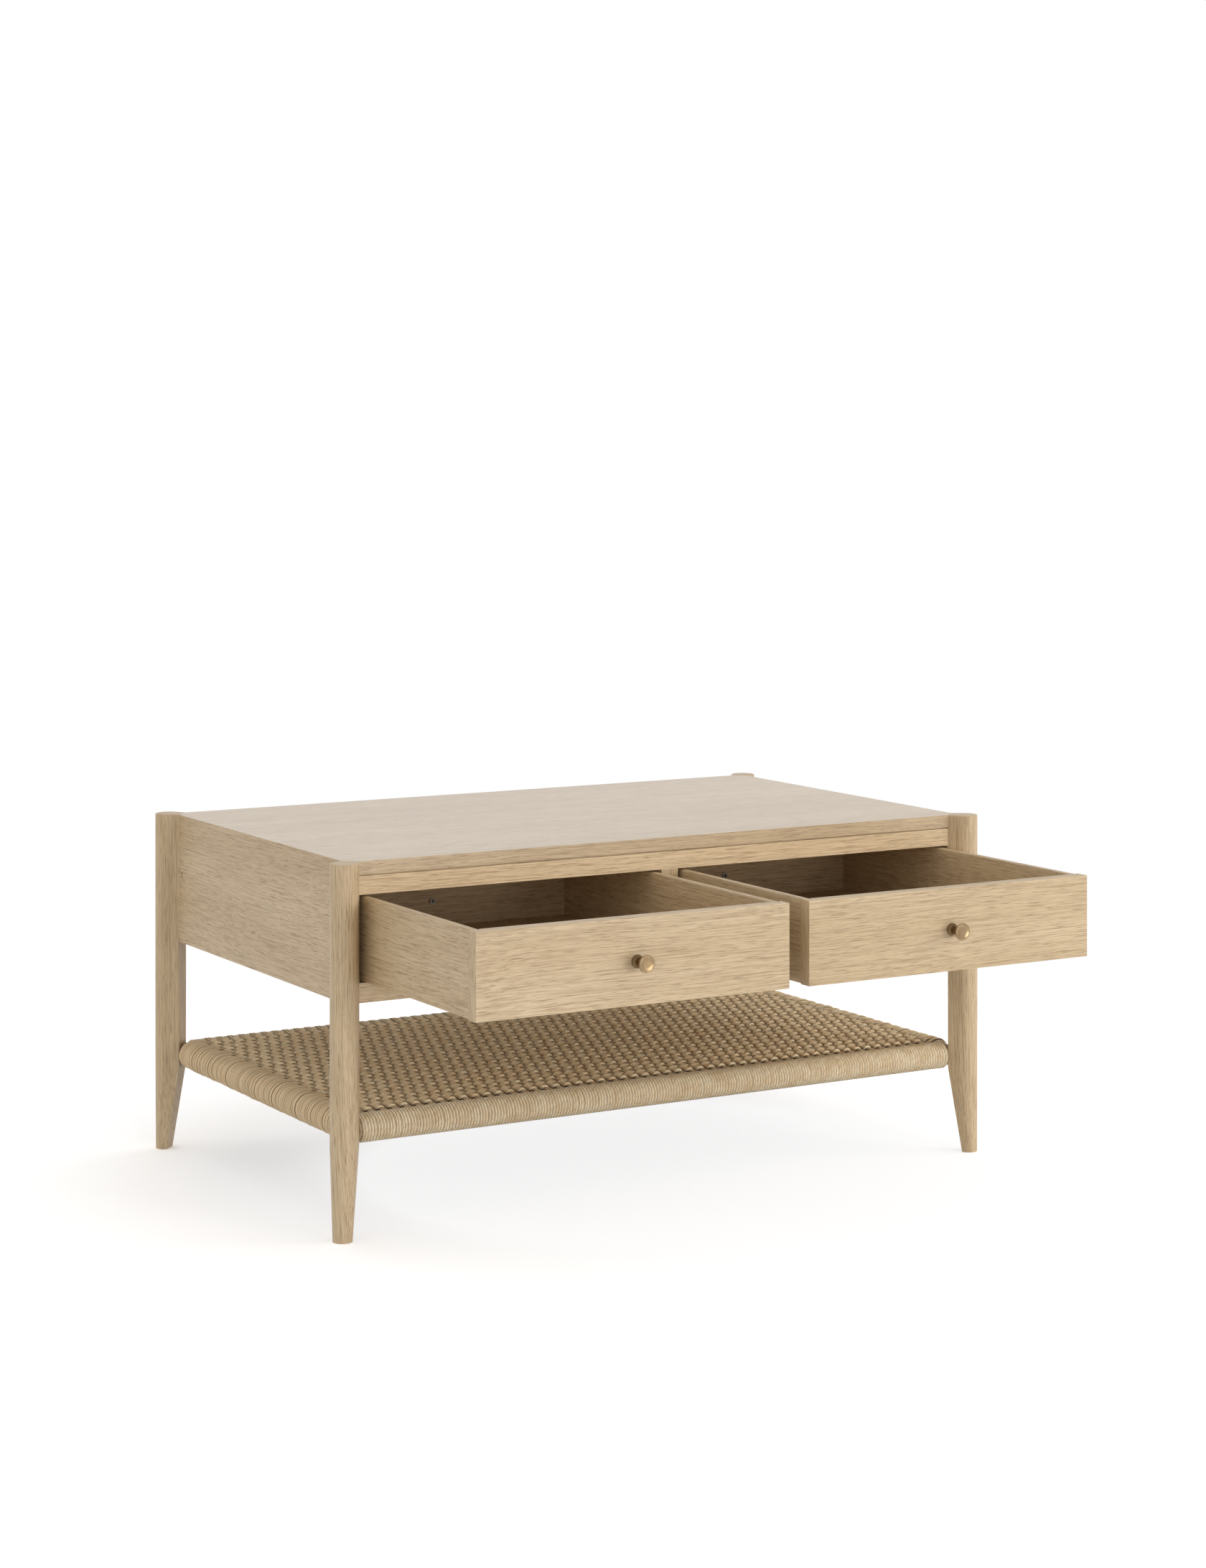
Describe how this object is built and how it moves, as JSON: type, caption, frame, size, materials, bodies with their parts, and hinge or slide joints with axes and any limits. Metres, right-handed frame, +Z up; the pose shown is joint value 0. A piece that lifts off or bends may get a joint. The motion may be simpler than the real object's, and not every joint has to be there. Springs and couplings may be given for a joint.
{
  "type": "storage coffee table",
  "caption": "Low oak coffee table with sliding drawers that run through the case, round brass knobs, rounded tapered legs and a woven cord shelf below.",
  "frame": {"origin": "on the floor, under the middle of the whole footprint with the drawers pulled out as pictured; the middle of the table itself lies 147.66 mm behind it", "axes": "+X to the right seen from the front, +Y to the rear, +Z up"},
  "size_m": [0.9518, 0.8796, 0.45],
  "materials": {
    "oak": "pale oiled oak, satin",
    "inner_wood": "bare planed wood",
    "shelf_wood": "turned oak, satin",
    "cord": "twisted natural cord",
    "dowel_wood": "beech, plain",
    "screw_steel": "blackened steel",
    "drawer_wood": "oak, satin",
    "drawer_floor": "veneered plywood",
    "brass": "satin aged brass"
  },
  "bodies": {
    "table": {"top_panel": "oak", "left_side_panel": "oak", "right_side_panel": "oak", "front_top_rail": "oak", "front_bottom_rail": "oak", "rear_top_rail": "oak", "rear_bottom_rail": "oak", "centre_upright": "oak", "front_left_leg": "oak", "front_right_leg": "oak", "rear_left_leg": "oak", "rear_right_leg": "oak", "left_runner": "inner_wood", "right_runner": "inner_wood", "centre_runner": "inner_wood", "left_kicker": "inner_wood", "right_kicker": "inner_wood", "centre_kicker": "inner_wood", "front_shelf_rail": "shelf_wood", "rear_shelf_rail": "shelf_wood", "left_shelf_rail": "shelf_wood", "right_shelf_rail": "shelf_wood", "front_rail_wrap": "cord", "rear_rail_wrap": "cord", "left_rail_wrap": "cord", "right_rail_wrap": "cord", "woven_field": "cord", "leg_dowels": "dowel_wood", "rail_dowels": "dowel_wood", "runner_screws": "screw_steel", "top_screws": "screw_steel"},
    "left_drawer": {"left_drawer_front": "oak", "left_drawer_rear_front": "oak", "left_drawer_left_side": "drawer_wood", "left_drawer_right_side": "drawer_wood", "left_drawer_bottom": "drawer_floor", "left_front_knob": "brass", "left_rear_knob": "brass", "left_knob_screws": "screw_steel"},
    "right_drawer": {"right_drawer_front": "oak", "right_drawer_rear_front": "oak", "right_drawer_left_side": "drawer_wood", "right_drawer_right_side": "drawer_wood", "right_drawer_bottom": "drawer_floor", "right_front_knob": "brass", "right_rear_knob": "brass", "right_knob_screws": "screw_steel"}
  },
  "joints": [
    {"name": "left_drawer_slide", "type": "slide", "parent": "table", "child": "left_drawer", "axis": [0, 1, 0], "range_m": [-0.0296, 0.6204]},
    {"name": "right_drawer_slide", "type": "slide", "parent": "table", "child": "right_drawer", "axis": [0, 1, 0], "range_m": [-0.0296, 0.6204]}
  ]
}
